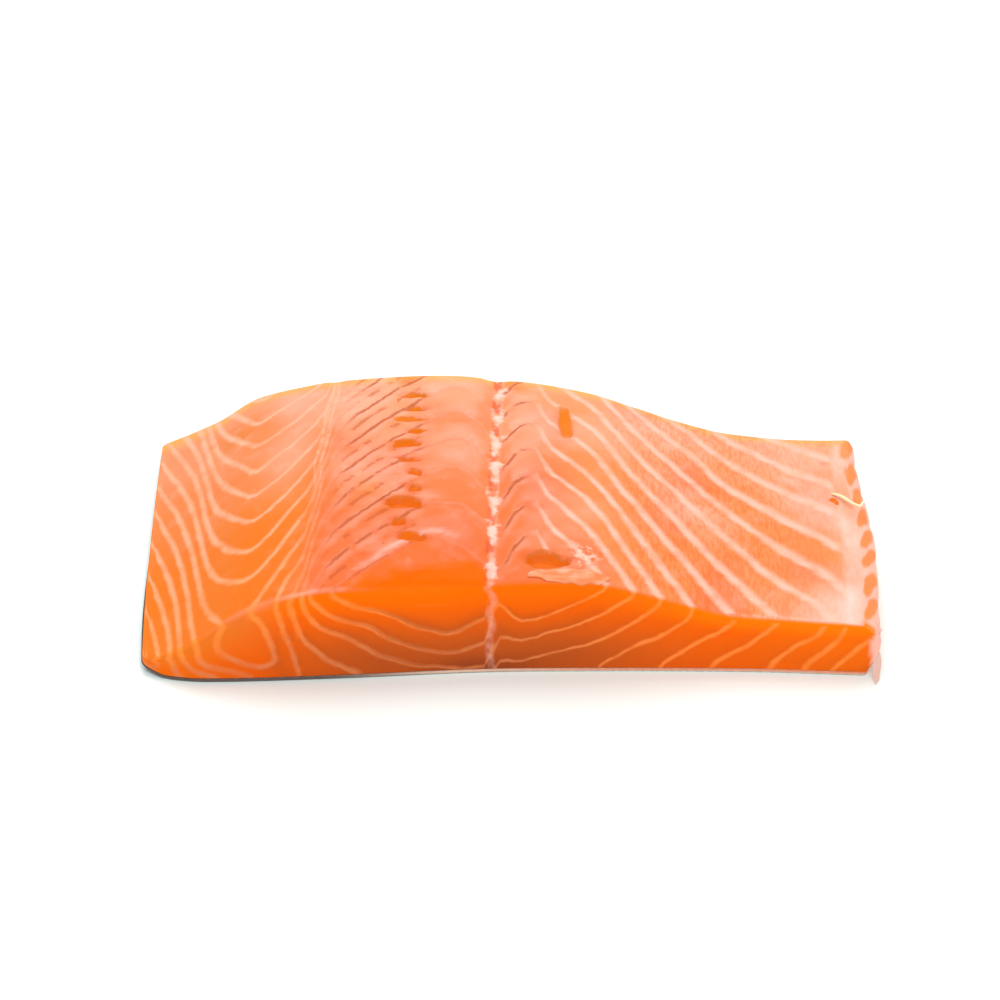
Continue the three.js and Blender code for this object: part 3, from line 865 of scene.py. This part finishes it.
    # Slits and pockets: deep wet muscle with a thin dark outline of painted shade where their walls drop.
    hole = put("Math", (put("Math", (lump, 0.9, -0.75), **TIMES_PLUS), at.hole), **PLUS)
    hole = put("Math", (grain, 0.6, hole), **TIMES_PLUS)
    outline = put("MapRange", (put("Math", (hole,), **ABS), 0.22, 0.04, 0.0, 0.4), **SOFT)
    inside = put("MapRange", (hole, -0.05, 0.2))

    colour = muscle
    for share, strength, tint in (
        (strokes, 0.5, sizes.fibre_dark), (patchy, 1, sizes.film), (line, 0.92, fat_tint),
        (lip_highlight, 0.18, sizes.film), (crack, 0.8, sizes.crack), (seam, 1, sizes.seam),
        (band, 1, sizes.spine_white_and_glint), (gap, 1, sizes.gap), (spot, 1, sizes.spine_white_and_glint),
        (painted_glint, 1, sizes.spine_white_and_glint), (pit_shade, 1, sizes.crack),
        (inside, 1, hole_tint), (outline, 1, sizes.slit_edge_shade),
    ):
        colour = put("Mix", (put("Math", (share, strength), **TIMES), colour, tint), **OVER)

    height = put("Math", (fibre, put("Math", (at.fibre, 0.4, 0.1), **TIMES_PLUS)), **TIMES)
    height = put("Math", (grain, 0.35, height), **TIMES_PLUS)
    height = put("Math", (crack, -0.9, height), **TIMES_PLUS)
    rough = put("Math", (at.rough, grain), **TIMES)
    height = put("Math", (rough, 1.6, height), **TIMES_PLUS)
    bump = put("Bump", {"Strength": 0.6, "Distance": 0.00035, "Height": height}, out="Normal")
    surface = put("BsdfPrincipled", {
        "Base Color": colour,
        "Roughness": put("Math", (cloud, 0.16, 0.3), **TIMES_PLUS),
        "IOR": 1.38,
        "Specular IOR Level": 0.04,
        "Normal": bump,
        "Subsurface Weight": 0.15,
        "Subsurface Radius": (1.0, 0.35, 0.12),
        "Subsurface Scale": 0.002,
        "Coat Weight": put("Math", (at.wet, 0.5), use_clamp=True, **TIMES),
        "Coat Roughness": 0.2,
        "Coat IOR": 1.4,
    }, out="BSDF")
    put("OutputMaterial", {"Surface": surface})
    return material


def skin_material(sizes):
    """Fish skin, scraped and wet: silvery scales over a back that is nearly black."""
    material, put, mm = blank_material("wet_salmon_skin")
    across = put("Attribute", attribute_name="across", out="Fac")
    # Scales in staggered rows, 3.2 mm across and 4 mm along the fish.
    cells = put("Mapping", {
        "Vector": mm, "Rotation": (0, 0, math.pi / 4), "Scale": (0.44, 0.354, 0.0)}, out="Vector")
    scale_edge = put("TexVoronoi", {"Vector": cells, "Scale": 1.0, "Randomness": 0.16},
                     feature="DISTANCE_TO_EDGE", out="Distance")
    scale = put("MapRange", (scale_edge, 0.0, 0.2), **SOFT)
    to_belly = put("MapRange", (across, -50.0, 30.0), **SOFT)
    colour = put("Mix", (to_belly, sizes.skin_back, sizes.skin_belly), **OVER)
    dim = put("MapRange", (scale, 0.0, 0.8, 0.3, 0.0))
    colour = put("Mix", (dim, colour, sizes.skin_scale), **OVER)
    # The cut edge of the skin shows its pale inner layers towards the belly.
    side = put("Attribute", attribute_name="side", out="Fac")
    edge = put("Mix", (put("MapRange", (across, -42.0, -10.0), **SOFT),
                       sizes.skin_edge_back, sizes.skin_edge_belly), **OVER)
    # Under the belly a little flesh is left on the upper part of that edge.
    up = put("Attribute", attribute_name="up", out="Fac")
    flesh_left = put("Math", (
        put("MapRange", (up, 0.4, 0.6, 0.0, 0.8)), put("MapRange", (across, -20.0, 20.0))), **TIMES)
    edge = put("Mix", (flesh_left, edge, sizes.tongue), **OVER)
    colour = put("Mix", (side, colour, edge), **OVER)
    bump = put("Bump", {"Strength": 0.5, "Distance": 0.0003, "Height": scale}, out="Normal")
    surface = put("BsdfPrincipled", {
        "Base Color": colour, "Roughness": 0.34, "IOR": 1.45, "Normal": bump,
        "Coat Weight": 0.4, "Coat Roughness": 0.15,
    }, out="BSDF")
    put("OutputMaterial", {"Surface": surface})
    return material


def scrap_material(name, base, pale, clear):
    """Thin torn flesh or tendon: wet, paler in streaks and clouds, and a little see-through."""
    material, put, mm = blank_material(name)
    # Streaks about 1 mm apart and clouds of 3 mm.
    streak, cloud = (put("TexNoise", {
        "Vector": put("VectorMath", (mm, scale), **TIMES), "Scale": 1.0}, out="Fac")
        for scale in ((0.4, 1.1, 1.1), (0.33, 0.33, 0.33)))
    share = put("Math", (streak, put("Math", (cloud, 1.2, -0.1), **TIMES_PLUS)), **PLUS)
    share = put("MapRange", (share, 0.85, 1.5), **SOFT)
    surface = put("BsdfPrincipled", {
        "Base Color": put("Mix", (share, base, pale), **OVER),
        "Roughness": put("Math", (cloud, 0.15, 0.25), **TIMES_PLUS),
        "IOR": 1.38,
        "Specular IOR Level": 0.15,
        "Transmission Weight": clear,
        "Subsurface Weight": 0.2,
        "Subsurface Radius": (1.0, 0.4, 0.2),
        "Subsurface Scale": 0.0015,
        "Coat Weight": 0.3,
        "Coat Roughness": 0.15,
        "Normal": put("Bump", {"Strength": 0.5, "Distance": 0.0002, "Height": streak}, out="Normal"),
    }, out="BSDF")
    put("OutputMaterial", {"Surface": surface})
    return material


# -------- stage

def make_stage(studio):
    floor = added("studio_floor", bpy.ops.mesh.primitive_plane_add, size=FLOOR_SIDE)
    material, put, _ = blank_material("white_paper_matt")
    surface = put("BsdfPrincipled", {
        "Base Color": studio.floor, "Roughness": 0.7, "Specular IOR Level": 0.2}, out="BSDF")
    put("OutputMaterial", {"Surface": surface})
    floor.data.materials.append(material)

    world = bpy.data.worlds.new("white_studio")
    world.use_nodes = True
    background = world.node_tree.nodes["Background"]
    background.inputs["Color"].default_value = (1, 1, 1, 1)
    background.inputs["Strength"].default_value = studio.surround
    bpy.context.scene.world = world
    bpy.context.scene.view_settings.view_transform = "Standard"

    for name, place, side in SOFTBOXES:
        lamp = added("softbox_" + name, bpy.ops.object.light_add, type="AREA", location=place)
        lamp.data.shape = "SQUARE"
        lamp.data.size = side
        lamp.data.energy = getattr(studio, name)
        lamp.rotation_euler = (Vector(SOFTBOX_AIM) - Vector(place)).to_track_quat("-Z", "Y").to_euler()

    camera = added("camera", bpy.ops.object.camera_add)
    elevation = studio.elevation
    away = Vector((0, -math.cos(elevation), math.sin(elevation)))
    camera.location = Vector(CAMERA_AIM) * MM + studio.distance * away
    camera.rotation_euler = (math.pi / 2 - elevation, 0, 0)
    camera.data.sensor_width = 36
    camera.data.lens = studio.focal_length
    bpy.context.scene.camera = camera


# -------- add-on

def tint(name, description, hex_colour):
    """A colour that the panel shows, from its sRGB hex default."""
    return FloatVectorProperty(
        name=name, description=description, subtype="COLOR", size=3, min=0, max=1, default=linear(hex_colour))


def power(where, watts):
    return FloatProperty(
        name="Softbox " + where, description="Power of the light " + where, default=watts, unit="POWER")


class FilletSizes(bpy.types.PropertyGroup):
    edge_radius: FloatProperty(
        name="Edge radius", description="Softness of the knife-cut edges", default=1.2 * MM, unit="LENGTH")
    relief_share: FloatProperty(
        name="Relief", description="Share of the real depth of flakes and cuts", default=1, min=0, max=2)
    top_near: tint("Top, near", "Muscle on the top near the front cut", "E25A18")
    top_middle: tint("Top, middle", "Muscle on the top", "E2723E")
    # Paler than the middle partly as painted sheen towards the far cut.
    top_far_with_sheen: tint("Top, far", "Muscle on the top at the far cut", "E48A5A")
    flank: tint("Flank", "Muscle on the slope of the back", "E2721F")
    belly: tint("Belly", "Muscle between the fat sheets of the belly", "DE864C")
    flush: tint("Flush", "Redder patches of muscle", "E2643A")
    # Also the colour of the painted sheen on the top and of the painted highlight on the crack edges.
    film: tint("Film", "Pale moist film over the muscle", "F0BEB0")
    rim: tint("Rim", "Thin far edge, lit through", "F2A04C")
    cut_face: tint("Cut face", "Muscle on the knife-cut faces", "F26000")
    cut_glow: tint("Cut face, edge", "Muscle just below the top edge, lit through", "F47E00")
    # Also the colour of the painted shade that darkens each band of the cut faces towards the next fat sheet.
    cut_low_and_flake_shade: tint("Cut face, low", "Muscle near the skin on the cut faces", "B8501C")
    cut_flank: tint("Cut face, ends", "Muscle of the cut faces at the back and the belly", "FF7C0C")
    dark_muscle: tint("Dark muscle", "Brown muscle just above the skin", "8A3C1E")
    fibre_dark: tint("Fibre", "Gaps between muscle fibres", "DC6428")
    fat_on_top: tint("Fat on top", "Fat sheets where they meet the top", "F5B39E")
    fat_on_flank: tint("Fat on flank", "Fat sheets on the slope of the back", "F6A682")
    fat_on_cut: tint("Fat on cut", "Fat sheets where they meet the cut faces", "FF8E40")
    fat_low: tint("Fat, low", "Fat sheets near the skin on the cut faces", "DC8050")
    seam: tint("Seam", "Fat seam along the loin", "F2C0A4")
    # Painted shade in the open cracks and in the pits of the rough patch.
    crack: tint("Crack", "Open cracks between flakes", "B04E18")
    # Painted shade along the walls of slits and pockets.
    slit_edge_shade: tint("Slit edge", "Outline of slits and pockets", "B8661A")
    tongue: tint("Scraps", "Torn tongue and film", "EA7E48")
    tendon: tint("Tendon", "Loose tendon", "F8E2B4")
    gap: tint("Gap", "Deep red muscle between the backbone's white spots", "CC4A14")
    deep: tint("Deep", "Bottom of slits and pockets", "DC660E")
    deep_far: tint("Deep, far", "Bottom of the slits that more light reaches", "D87004")
    bevel: tint("Belly side", "Muscle between the fat sheets on the belly's side", "EC8444")
    # Also the colour of the painted glints on the rough wet patch.
    spine_white_and_glint: tint("Backbone white", "Connective spots along the backbone line", "F4C6B6")
    skin_back: tint("Skin, back", "Skin along the back", "2E2B2B")
    skin_belly: tint("Skin, belly", "Skin along the belly", "C9C4BE")
    skin_scale: tint("Skin, scales", "Dark outline of the scales", "27272C")
    skin_edge_back: tint("Skin edge, back", "Cut edge of the skin along the back", "5A3E34")
    skin_edge_belly: tint("Skin edge, belly", "Cut edge of the skin along the belly", "E8C4AC")


class StudioSizes(bpy.types.PropertyGroup):
    elevation: FloatProperty(
        name="Elevation", description="Camera's angle above the floor", default=math.radians(40),
        subtype="ANGLE")
    distance: FloatProperty(
        name="Distance", description="Camera's distance from what it aims at", default=1.2, unit="LENGTH")
    focal_length: FloatProperty(
        name="Focal length", description="Camera's lens, in millimetres", default=200.4)
    surround: FloatProperty(
        name="Surround", description="Brightness of the white room", default=0.74, min=0)
    above: power("above", 9.0)
    behind: power("behind", 3.0)
    front: power("in front", 9.0)
    floor: tint("Floor", "Paper under the portion", "EEF8F5")


class FILLET_OT_flesh(bpy.types.Operator):
    """Adds the cut flesh"""
    bl_idname = "fillet.flesh"
    bl_label = "Flesh"

    def execute(self, context):
        make_flesh(context.scene.fillet_sizes)
        return {"FINISHED"}


class FILLET_OT_skin(bpy.types.Operator):
    """Adds the skin under the flesh"""
    bl_idname = "fillet.skin"
    bl_label = "Skin"

    def execute(self, context):
        make_skin(context.scene.fillet_sizes)
        return {"FINISHED"}


class FILLET_OT_scraps(bpy.types.Operator):
    """Adds the torn tongue, the loose tendon and the film at the corner"""
    bl_idname = "fillet.scraps"
    bl_label = "Scraps"

    def execute(self, context):
        make_tongue(context.scene.fillet_sizes)
        make_tendon(context.scene.fillet_sizes)
        make_corner_film(context.scene.fillet_sizes)
        return {"FINISHED"}


class FILLET_OT_stage(bpy.types.Operator):
    """Adds the white floor, the lights and the camera"""
    bl_idname = "fillet.stage"
    bl_label = "Studio"

    def execute(self, context):
        make_stage(context.scene.fillet_studio)
        return {"FINISHED"}


class FILLET_PT_panel(bpy.types.Panel):
    bl_idname = "FILLET_PT_panel"
    bl_label = "Raw salmon fillet"
    bl_space_type = "VIEW_3D"
    bl_region_type = "UI"
    bl_category = "Fillet"

    def draw(self, context):
        for group in (context.scene.fillet_sizes, context.scene.fillet_studio):
            for name in group.__annotations__:
                self.layout.prop(group, name)
        for operator in OPERATORS:
            self.layout.operator(operator.bl_idname)


OPERATORS = (FILLET_OT_flesh, FILLET_OT_skin, FILLET_OT_scraps, FILLET_OT_stage)
CLASSES = (FilletSizes, StudioSizes, *OPERATORS, FILLET_PT_panel)


def register():
    for item in CLASSES:
        bpy.utils.register_class(item)
    bpy.types.Scene.fillet_sizes = PointerProperty(type=FilletSizes)
    bpy.types.Scene.fillet_studio = PointerProperty(type=StudioSizes)


def unregister():
    del bpy.types.Scene.fillet_studio
    del bpy.types.Scene.fillet_sizes
    for item in reversed(CLASSES):
        bpy.utils.unregister_class(item)


def main():
    register()
    bpy.ops.fillet.flesh()
    bpy.ops.fillet.skin()
    bpy.ops.fillet.scraps()
    bpy.ops.fillet.stage()


if __name__ == "__main__":
    main()
